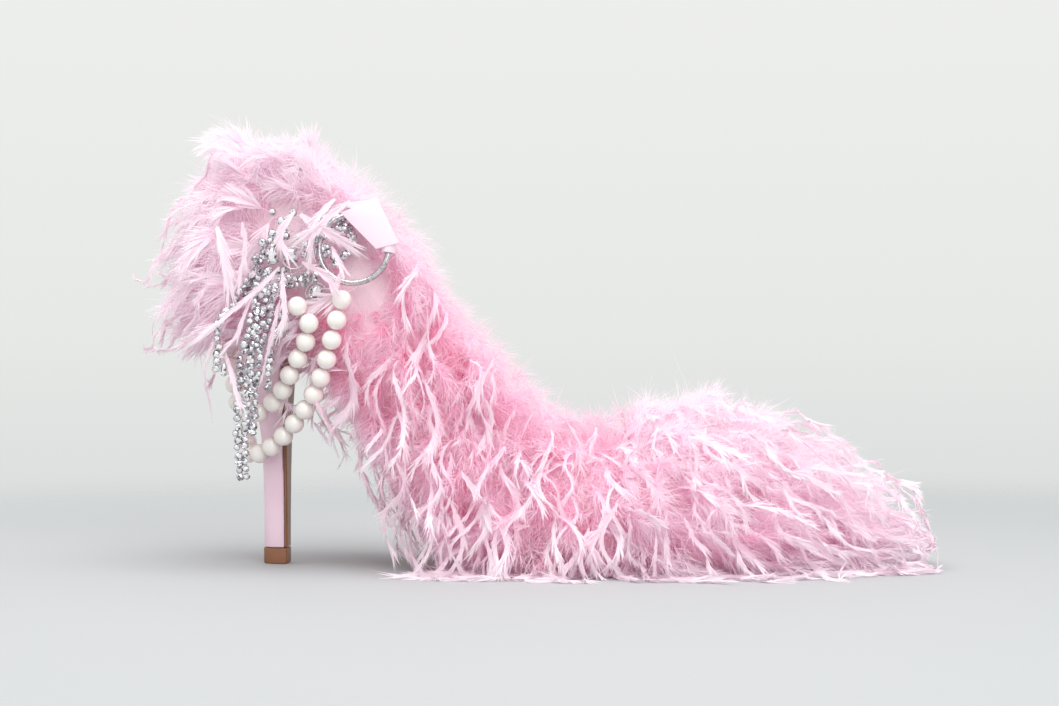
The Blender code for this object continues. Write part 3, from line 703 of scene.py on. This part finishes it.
def leather_finish(name, colour, shade, roughness, grain):
    """Leather: pores and creases as a cell pattern, with a little change of colour."""
    made, tree, out = new_material(name)
    place = add_node(tree, "ShaderNodeTexCoord")
    pores = add_node(tree, "ShaderNodeTexVoronoi", {
        "Vector": place.outputs["Object"], "Scale": 1000.0 / grain,
    })
    cloud = add_node(tree, "ShaderNodeTexNoise", {
        "Vector": place.outputs["Object"], "Scale": 90.0, "Detail": 4.0,
    })
    colour_ramp = add_node(tree, "ShaderNodeValToRGB", {"Fac": cloud.outputs["Fac"]},
                   stops=((0.3, shade), (0.7, colour)))
    bump = add_node(tree, "ShaderNodeBump", {
        "Height": pores.outputs["Distance"], "Strength": 0.3, "Distance": 0.0002,
    })
    hide = add_node(tree, "ShaderNodeBsdfPrincipled", {
        "Base Color": colour_ramp.outputs["Color"], "Roughness": roughness, "IOR": 1.5,
        "Normal": bump.outputs["Normal"],
    })
    tree.links.new(hide.outputs["BSDF"], out.inputs["Surface"])
    return made


SATIN = satin_finish("pink_duchess_satin", "#F4D8E6", "#F0D1E0")
TAB_SATIN = satin_finish("pale_pink_satin", "#F3DDE8", "#EFD6E3")
KID = leather_finish("pale_kid_lining", "#F3DCE4", "#EBCFD9", 0.45, 0.8)
SOLE = leather_finish("brown_sole_leather", "#9C6B45", "#84552F", 0.4, 0.5)
RUBBER = leather_finish("brown_moulded_rubber", "#8F5F43", "#85563B", 0.5, 0.35)

for node, finish in (("upper", KID), ("insole", KID), ("outsole", SOLE)):
    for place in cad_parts[node].material_slots:
        place.material = finish
print("finishes on the kept CAD nodes: upper, insole and outsole")


# %% [markdown]
# ## Heel, top lift and strap tab
#
# These three are smooth on the real shoe, with softly rounded edges. Each is a copy of its CAD
# solid: its loose triangles are merged, its flat faces made whole, and its edges bevelled.

# %% Rounded copies of CAD solids
def select_only(thing):
    bpy.ops.object.select_all(action="DESELECT")
    thing.select_set(True)
    bpy.context.view_layer.objects.active = thing


def rounded_copy(name, node, edge, finish, angle=34.0):
    """A copy of a CAD node with its edges rounded to a radius of edge millimetres."""
    made = bpy.data.objects.new(name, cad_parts[node].data.copy())
    bpy.context.scene.collection.objects.link(made)
    made.data.materials.clear()
    made.data.materials.append(finish)
    select_only(made)
    bpy.ops.object.mode_set(mode="EDIT")
    bpy.ops.mesh.select_all(action="SELECT")
    bpy.ops.mesh.remove_doubles(threshold=0.00002)
    bpy.ops.mesh.dissolve_limited(angle_limit=math.radians(1.0))
    bpy.ops.object.mode_set(mode="OBJECT")
    bevel = made.modifiers.new("soft_edges", "BEVEL")
    bevel.width, bevel.segments = edge * MM, 3
    bevel.limit_method, bevel.angle_limit = "ANGLE", math.radians(angle)
    bpy.ops.object.modifier_apply(modifier=bevel.name)
    bpy.ops.object.shade_smooth_by_angle(angle=math.radians(40.0))
    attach(made, "root")
    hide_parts(node)
    print(f"{name}: {len(made.data.polygons)} faces")
    return made


rounded_copy("heel_cover", "heel", 0.5, SATIN)
rounded_copy("top_lift", "top_piece", 0.4, RUBBER)
rounded_copy("tab", "strap_tab", 0.35, TAB_SATIN)

# %% [markdown]
# ## One piece, many copies
#
# Pearls, stones and their cups repeat many times. Each kind is modelled once, at the size of 1
# and facing +Z, and then copied to all its places as one mesh.

# %% Copies from arrays
OUTWARD = np.array((0.0, -1.0, 0.0))


def take_shape(thing):
    """The points and faces of a modelled piece, which is then removed."""
    mesh = thing.data
    points = np.array([tuple(v.co) for v in mesh.vertices])
    faces = [list(p.vertices) for p in mesh.polygons]
    bpy.data.objects.remove(thing)
    bpy.data.meshes.remove(mesh)
    return points, faces


def turned(out, spin):
    """Axes of a copy that faces along out and is turned by spin about it, in degrees."""
    out = Vector(out).normalized()
    right = Vector((0, 0, 1)).cross(out) * -1.0
    right = right.normalized() if right.length > 0.01 else Vector((1, 0, 0))
    up = out.cross(right)
    a = math.radians(spin)
    return np.array((
        right * math.cos(a) + up * math.sin(a), up * math.cos(a) - right * math.sin(a), out
    ))


def copies(name, shape, places, finish, nodes=(), smooth=30.0):
    """One object with a copy of a shape at each place: (centre, out, spin, (width, height))."""
    points, faces = shape
    every, made_faces = [], []
    for i, (centre, out, spin, (wide, high)) in enumerate(places):
        scale = np.array((wide, high, min(wide, high)))
        every.append(np.array(centre) + (points * scale) @ turned(out, spin))
        made_faces += [[v + i * len(points) for v in face] for face in faces]
    mesh = bpy.data.meshes.new(name)
    mesh.from_pydata((np.concatenate(every) * MM).tolist(), [], made_faces)
    mesh.materials.append(finish)
    made = bpy.data.objects.new(name, mesh)
    bpy.context.scene.collection.objects.link(made)
    select_only(made)
    bpy.ops.object.mode_set(mode="EDIT")
    bpy.ops.mesh.select_all(action="SELECT")
    bpy.ops.mesh.normals_make_consistent(inside=False)
    bpy.ops.object.mode_set(mode="OBJECT")
    if smooth:
        bpy.ops.object.shade_smooth_by_angle(angle=math.radians(smooth))
    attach(made, "root")
    if nodes:
        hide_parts(*nodes)
    print(f"{name}: {len(places)} copies, {sum(len(f) - 2 for f in made_faces)} triangles")
    return made


def pick_faces(thing, test):
    """Selects the faces of a piece that pass a test on their middle and normal, in edit mode."""
    bpy.ops.object.mode_set(mode="EDIT")
    bpy.context.tool_settings.mesh_select_mode = (False, False, True)
    bpy.ops.mesh.select_all(action="DESELECT")
    bpy.ops.object.mode_set(mode="OBJECT")
    for polygon in thing.data.polygons:
        polygon.select = test(polygon.center, polygon.normal)
    bpy.ops.object.mode_set(mode="EDIT")


def extrude(z, size):
    """Pulls the selected faces along Z, and scales them across."""
    bpy.ops.mesh.extrude_region_move(TRANSFORM_OT_translate={"value": (0.0, 0.0, z)})
    bpy.ops.transform.resize(value=(size, size, 1.0))


# %% The stone, its cup and the pearl
def cut_stone(sides):
    """A cut stone of width 1: a flat table, a sloping crown, a girdle and a pointed back."""
    bpy.ops.object.select_all(action="DESELECT")
    bpy.ops.mesh.primitive_cylinder_add(vertices=sides, radius=0.5, depth=0.08)
    stone = bpy.context.object
    pick_faces(stone, lambda middle, normal: normal.z > 0.9)
    extrude(0.10, 0.84)
    extrude(0.10, 0.66)
    pick_faces(stone, lambda middle, normal: normal.z < -0.9)
    extrude(-0.22, 0.5)
    bpy.ops.object.mode_set(mode="OBJECT")
    return take_shape(stone)


def claw_cup(sides, claws):
    """The cup that holds a stone of width 1: a round wall, a floor and claws bent over it."""
    bpy.ops.object.select_all(action="DESELECT")
    bpy.ops.mesh.primitive_cylinder_add(
        vertices=sides, radius=0.56, depth=0.5, location=(0, 0, -0.2))
    cup = bpy.context.object
    bpy.ops.object.transform_apply(location=True)
    pick_faces(cup, lambda middle, normal: normal.z > 0.9)
    bpy.ops.mesh.inset(thickness=0.06, depth=0.0)
    bpy.ops.mesh.extrude_region_move(TRANSFORM_OT_translate={"value": (0.0, 0.0, -0.12)})
    bpy.ops.object.mode_set(mode="OBJECT")
    for k in range(claws):
        angle = math.radians(45.0 + 360.0 * k / claws)
        bpy.ops.mesh.primitive_cone_add(
            vertices=4, radius1=0.09, radius2=0.05, depth=0.42,
            location=(0.53 * math.cos(angle), 0.53 * math.sin(angle), 0.02),
            rotation=(0.35 * math.sin(angle), -0.35 * math.cos(angle), 0.0))
        claw = bpy.context.object
        bpy.ops.object.transform_apply(location=True, rotation=True)
        cup.select_set(True)
        bpy.context.view_layer.objects.active = cup
        bpy.ops.object.join()
        cup = bpy.context.object
    return take_shape(cup)


ROUND_STONE, SQUARE_STONE = cut_stone(8), cut_stone(4)
BIG_STONE = cut_stone(12)
CUP = claw_cup(10, 4)

bpy.ops.object.select_all(action="DESELECT")
bpy.ops.mesh.primitive_uv_sphere_add(segments=24, ring_count=14, radius=0.5)
PEARL_SHAPE = take_shape(bpy.context.object)
print("faces: stone", len(ROUND_STONE[1]), "cup", len(CUP[1]), "pearl", len(PEARL_SHAPE[1]))

# %% [markdown]
# ## Crystal, metal and pearl
#
# The stones are lead glass with a mirror foil behind them. They are painted in small cells of flat
# tone, bright or dark, as a painted reflection. The cups and the ring are bright plated metal. A
# pearl is a bead with a clear nacre coat: creamy in the middle, a little pink and grey at its rim.

# %% Jewellery finishes
def crystal_finish():
    """Foil-backed lead glass: clear and very smooth, in small cells of flat tone that are a painted
    reflection.
    """
    made, tree, out = new_material("foiled_lead_crystal")
    place = add_node(tree, "ShaderNodeTexCoord")
    cells = add_node(tree, "ShaderNodeTexVoronoi", {
        "Vector": place.outputs["Object"], "Scale": 900.0})
    tones = add_node(tree, "ShaderNodeSeparateColor", {"Color": cells.outputs["Color"]})
    # Painted reflection: random cells from dark grey to white stand in for the dark and bright
    # places that the stones mirror
    painted_reflection = add_node(tree, "ShaderNodeValToRGB", {"Fac": tones.outputs["Red"]}, stops=(
        (0.0, "#4C4C56"), (0.22, "#B2B2BC"), (0.45, "#F0F0F6"), (1.0, "#FFFFFF")))
    glass = add_node(tree, "ShaderNodeBsdfPrincipled", {
        "Base Color": painted_reflection.outputs["Color"], "Metallic": 0.75, "Roughness": 0.06,
        "Coat Weight": 1.0, "Coat Roughness": 0.02, "Coat IOR": 1.58,
    })
    tree.links.new(glass.outputs["BSDF"], out.inputs["Surface"])
    return made


def metal_finish():
    """Bright rhodium plate: nearly white, smooth, with a trace of tarnish in soft random patches."""
    made, tree, out = new_material("rhodium_plated_brass")
    place = add_node(tree, "ShaderNodeTexCoord")
    cloud = add_node(tree, "ShaderNodeTexNoise", {
        "Vector": place.outputs["Object"], "Scale": 700.0, "Detail": 3.0})
    plate = add_node(tree, "ShaderNodeValToRGB", {"Fac": cloud.outputs["Fac"]}, stops=(
        (0.3, "#A19FA2"), (0.6, "#DCDBDD")))
    wear = add_node(tree, "ShaderNodeMapRange", {
        "Value": cloud.outputs["Fac"], "To Min": 0.12, "To Max": 0.26})
    metal = add_node(tree, "ShaderNodeBsdfPrincipled", {
        "Base Color": plate.outputs["Color"], "Metallic": 1.0,
        "Roughness": wear.outputs["Result"],
    })
    tree.links.new(metal.outputs["BSDF"], out.inputs["Surface"])
    return made


def pearl_finish():
    """Glass bead with a nacre coat: soft body, sharp clear gloss, pinkish rim."""
    made, tree, out = new_material("nacre_coated_bead")
    edge = add_node(tree, "ShaderNodeLayerWeight", {"Blend": 0.35})
    nacre = add_node(tree, "ShaderNodeValToRGB", {"Fac": edge.outputs["Facing"]}, stops=(
        (0.0, "#F8F4EE"), (0.5, "#F3EBE6"), (1.0, "#E3CFD2")))
    bead = add_node(tree, "ShaderNodeBsdfPrincipled", {
        "Base Color": nacre.outputs["Color"], "Roughness": 0.3, "IOR": 1.53,
        "Coat Weight": 1.0, "Coat Roughness": 0.06, "Coat IOR": 1.6,
        "Subsurface Weight": 0.1, "Subsurface Scale": 0.002,
    })
    tree.links.new(bead.outputs["BSDF"], out.inputs["Surface"])
    return made


CRYSTAL, METAL, NACRE = crystal_finish(), metal_finish(), pearl_finish()

# %% [markdown]
# ## Pearl swags
#
# Two strings of pearls hang from the side of the counter and run round behind the heel. Their
# routes are those of the CAD, with a pearl every 8.25 mm.

# %% Pearls along their routes
PEARL, PITCH = 8.0, 8.25
SWAGS = {
    "pearl_swag_outer": (
        (-98.0, -38.3, 108.0), (-100.6, -38.2, 98.0), (-105.5, -34.6, 82.0),
        (-112.0, -28.6, 68.6), (-122.0, -21.5, 56.6), (-133.0, -13.5, 47.5),
        (-142.3, -5.5, 45.4), (-145.2, 3.0, 51.5), (-146.0, 5.0, 62.0),
        (-148.2, 5.5, 74.0), (-152.6, 6.0, 86.0), (-154.2, 6.0, 91.5)),
    "pearl_swag_inner": (
        (-116.0, -37.6, 105.5), (-111.0, -37.0, 97.3), (-115.2, -33.0, 88.0),
        (-121.6, -28.0, 77.0), (-127.6, -21.5, 68.6), (-137.2, -16.5, 62.5),
        (-145.2, -9.5, 64.0), (-148.3, -4.5, 72.5), (-152.0, -3.6, 84.0),
        (-154.2, -3.6, 91.5)),
}


def smooth_route(points, step):
    """Points a fixed step apart along a smooth curve through the given ones."""
    points = np.array(points, float)
    t = np.arange(12)[:, None] / 12
    fine = []
    for i in range(len(points) - 1):
        before, start = points[max(i - 1, 0)], points[i]
        end, after = points[i + 1], points[min(i + 2, len(points) - 1)]
        fine.append(0.5 * (
            2 * start + (end - before) * t
            + (2 * before - 5 * start + 4 * end - after) * t**2
            + (3 * start - before - 3 * end + after) * t**3
        ))
    fine = np.concatenate(fine + [points[-1:]])
    length = np.concatenate(([0], np.cumsum(np.linalg.norm(np.diff(fine, axis=0), axis=1))))
    at = np.arange(0, length[-1], step)
    return np.stack([np.interp(at, length, fine[:, k]) for k in range(3)], axis=1)


for name, route in SWAGS.items():
    centres = smooth_route(route, PITCH)
    places = [(c, OUTWARD, 37.0 * i, (PEARL, PEARL)) for i, c in enumerate(centres)]
    copies(name.replace("pearl_swag", "pearls"), PEARL_SHAPE, places, NACRE, (name,), 60.0)

# %% [markdown]
# ## Crystal chains and brooch
#
# Cup chain is a row of stones in claw cups, linked so that it hangs like a ribbon. Several
# strands hang together here, so the rows twist and overlap. The brooch above is a heap of stones
# of many sizes and shapes.

# %% Places of the chain stones
STONE = 2.7
CHAINS = {
    "crystal_chain_long": ((-134.0, -37.5, 99.0), (-137.5, -37.5, 80.0), (-139.0, -37.0, 62.0),
                           (-138.5, -37.0, 50.0), (-138.0, -36.5, 35.0)),
    "crystal_chain_double": ((-128.5, -37.5, 102.0), (-132.5, -37.5, 86.0),
                             (-134.5, -37.0, 68.0), (-136.0, -37.0, 53.0)),
    "crystal_chain_short": ((-123.3, -37.5, 102.0), (-127.2, -37.5, 86.0),
                            (-127.5, -37.0, 70.0)),
    "crystal_chain_back": ((-141.6, -38.0, 108.0), (-146.5, -41.0, 99.0),
                           (-147.5, -41.0, 90.0), (-147.5, -41.0, 80.0)),
}


def chain_start(node):
    """The top of a CAD chain."""
    points = triangles_of(node).reshape(-1, 3)
    return points[points[:, 2] > points[:, 2].max() - 1.5].mean(axis=0)


random = np.random.default_rng(51)
chain_places = []
for node, points in CHAINS.items():
    route = smooth_route([tuple(chain_start(node))] + list(points), STONE * 1.1)
    rows = (-0.55, 0.55) if node in ("crystal_chain_long", "crystal_chain_double") else (0.0,)
    for i, centre in enumerate(route):
        for row in rows:
            aside = np.array((row * STONE, 0.0, 0.3 * STONE * row))
            jitter = random.normal(0, 0.35, 3)
            out = OUTWARD + random.normal(0, 0.35, 3)
            size = STONE * random.choice((0.85, 1.0, 1.1))
            chain_places.append((centre + aside + jitter, out, random.uniform(0, 90), (size, size)))
copies("chain_cups", CUP, chain_places, METAL, tuple(CHAINS))
copies("chain_stones", ROUND_STONE, chain_places, CRYSTAL, (), 0)

# %% Places of the brooch's stones
BROOCH_STONES = (
    # x, z and size; the stones lie on the counter's side
    (-127.1, 143.2, 2.6), (-123.5, 139.6, 2.9), (-118.7, 143.1, 2.6), (-126.7, 134.5, 3.0),
    (-130.3, 130.9, 3.0), (-129.1, 127.8, 2.8), (-133.1, 124.2, 2.6), (-112.7, 130.5, 3.0),
    (-108.3, 127.7, 4.2), (-98.3, 125.7, 3.4), (-100.7, 123.7, 2.8), (-96.6, 128.0, 2.8),
    (-111.5, 121.0, 2.4), (-109.9, 116.2, 3.0), (-120.3, 117.1, 2.1), (-117.9, 116.7, 2.1),
    (-115.1, 117.4, 2.1), (-112.9, 118.6, 2.1), (-124.4, 131.0, 3.0), (-121.0, 133.5, 2.6),
    (-116.0, 133.2, 2.7), (-113.8, 126.3, 2.4), (-122.0, 120.3, 2.3), (-105.6, 129.4, 2.6),
    (-103.1, 139.5, 2.2), (-100.3, 139.9, 2.0), (-97.9, 138.3, 2.0), (-101.5, 137.0, 1.9),
    (-98.9, 135.9, 2.2), (-96.6, 134.2, 1.9), (-104.9, 137.6, 1.8), (-103.0, 135.4, 1.9),
    (-100.4, 133.3, 1.9), (-106.9, 138.4, 1.7), (-96.0, 131.2, 1.7), (-98.4, 131.9, 1.8),
    (-108.6, 136.0, 2.0), (-106.2, 133.4, 2.1), (-110.6, 133.6, 2.3),
)
PAVE_ROWS = (
    # number of rows, then the route of the row as x and z: a bow's two loops and its knot
    (3, ((-112.0, 136.5), (-106.0, 141.0), (-99.0, 140.5), (-95.5, 136.0), (-98.0, 129.5))),
    (2, ((-121.0, 138.0), (-126.5, 133.0), (-131.0, 127.5), (-134.5, 120.0))),
    (2, ((-112.0, 132.0), (-107.0, 129.5), (-102.0, 125.0))),
    (2, ((-123.5, 119.5), (-118.5, 116.0), (-113.0, 118.0), (-109.5, 122.5))),
)
PAVE_STONE = 2.2
CARRIERS = tree_of("brooch", *TRIMS)


def on_side(x, z, proud=0.6):
    """A place on the outer side of the shoe, at x and z, and the direction that faces out there."""
    hit = CARRIERS.ray_cast(Vector((x, -90.0, z)), Vector((0, 1, 0)))
    y = hit[0].y if hit[0] is not None else -37.5
    return np.array((x, max(y, -39.0) - proud, z)), np.array((0.0, -1.0, 0.12))


brooch_places = []
for x, z, size in BROOCH_STONES:
    centre, out = on_side(x, z)
    out = out + random.normal(0, 0.22, 3)
    brooch_places.append((centre, out, random.uniform(0, 90), (size, size)))
for rows, route in PAVE_ROWS:
    centres = smooth_route([(x, 0.0, z) for x, z in route], PAVE_STONE * 1.08)
    for row in range(rows):
        for x, _, z in centres + random.normal(0, 0.3, centres.shape):
            centre, out = on_side(x + 0.6 * row, z - PAVE_STONE * row, random.uniform(0.4, 1.6))
            size = PAVE_STONE * random.choice((0.8, 1.0, 1.1))
            out = out + random.normal(0, 0.25, 3)
            brooch_places.append((centre, out, random.uniform(0, 90), (size, size)))
copies("brooch_cups", CUP, brooch_places, METAL, ("brooch",))
copies("brooch_stones", ROUND_STONE, brooch_places, CRYSTAL, (), 0)

FANCY = (
    # shape, x, z, width, height and turn
    (BIG_STONE, -118.7, 125.7, 5.4, 5.4, 0), (BIG_STONE, -125.9, 125.6, 4.6, 6.4, 12),
    (BIG_STONE, -108.9, 110.9, 5.4, 5.4, 0), (SQUARE_STONE, -133.9, 118.7, 4.0, 4.0, 60),
    (SQUARE_STONE, -136.0, 114.6, 4.0, 4.0, 55), (SQUARE_STONE, -138.0, 110.8, 3.4, 3.4, 60),
    (BIG_STONE, -144.4, 92.2, 5.6, 5.6, 0), (BIG_STONE, -145.2, 80.5, 2.2, 5.0, 0),
    (BIG_STONE, -120.3, 94.9, 3.0, 3.0, 0),
)
for name, shape in (("cushion", BIG_STONE), ("square", SQUARE_STONE)):
    places = [
        (on_side(x, z, 1.8)[0], (0.05, -1.0, 0.1), turn, (wide, high))
        for kind, x, z, wide, high, turn in FANCY if kind is shape
    ]
    copies("stones_" + name, shape, places, CRYSTAL, (), 0)
    copies("cups_" + name, CUP, places, METAL)


# %% [markdown]
# ## Rings of wire
#
# The strap tab holds a round metal ring, 30 mm across. Two of the large stones have a thin wire
# ring round them too.

# %% The ring and the small wires
RING_CENTRE, RING_OUT = np.array((-94.0, -33.4, 128.4)), np.array((0.0, -0.985, 0.174))


def wire_ring(name, centre, out, radius, wire, nodes=()):
    bpy.ops.object.select_all(action="DESELECT")
    bpy.ops.mesh.primitive_torus_add(
        major_segments=64 if nodes else 36, minor_segments=14 if nodes else 8,
        major_radius=radius, minor_radius=wire)
    shape = take_shape(bpy.context.object)
    return copies(name, shape, [(centre, out, 0.0, (1.0, 1.0))], METAL, nodes, 60.0)


RING_RADIUS, RING_WIRE = 14.0, 1.15
wire_ring("ring_wire", RING_CENTRE, RING_OUT, RING_RADIUS, RING_WIRE, ("ring",))
THIN_WIRE = 0.22
SMALL_RINGS = (
    # name, x, z and radius
    ("stone_wire_high", -117.2, 124.6, 4.4), ("stone_wire_low", -108.9, 110.6, 4.2),
)
for name, x, z, radius in SMALL_RINGS:
    wire_ring(name, on_side(x, z, 1.6)[0], (0.1, -1.0, 0.1), radius, THIN_WIRE)
